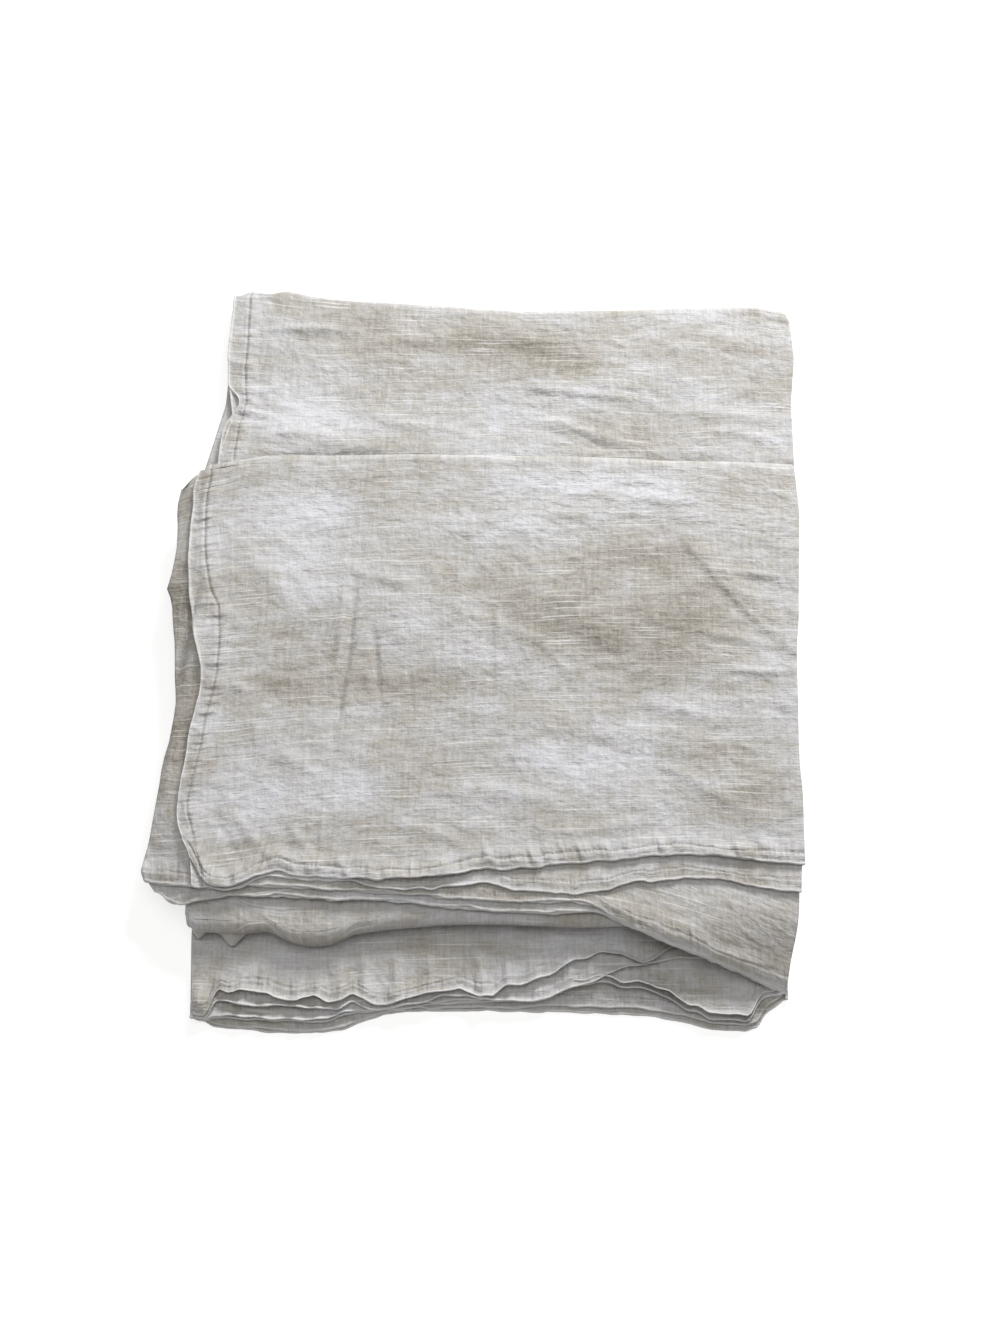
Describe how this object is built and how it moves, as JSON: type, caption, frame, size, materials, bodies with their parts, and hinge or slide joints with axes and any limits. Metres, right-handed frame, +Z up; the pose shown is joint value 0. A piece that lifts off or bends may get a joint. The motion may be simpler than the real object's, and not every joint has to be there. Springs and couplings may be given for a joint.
{
  "type": "crumpled duvet cover",
  "caption": "Loosely folded linen duvet cover, laid back and forth in uneven layers with slightly puckered hems.",
  "frame": {"origin": "on the surface that the folded cover lies on, under the middle of its box", "axes": "+Z up out of the stack, +Y from the hems in front to the fold at the back, +X to the right across the folded width"},
  "size_m": [0.6138, 0.7494, 0.0463],
  "materials": {
    "linen_front": "washed slub linen, natural greige, matt",
    "linen_back": "washed slub linen, natural greige, matt"
  },
  "bodies": {
    "root": {"front_panel": "linen_front", "back_panel": "linen_back"}
  },
  "joints": []
}
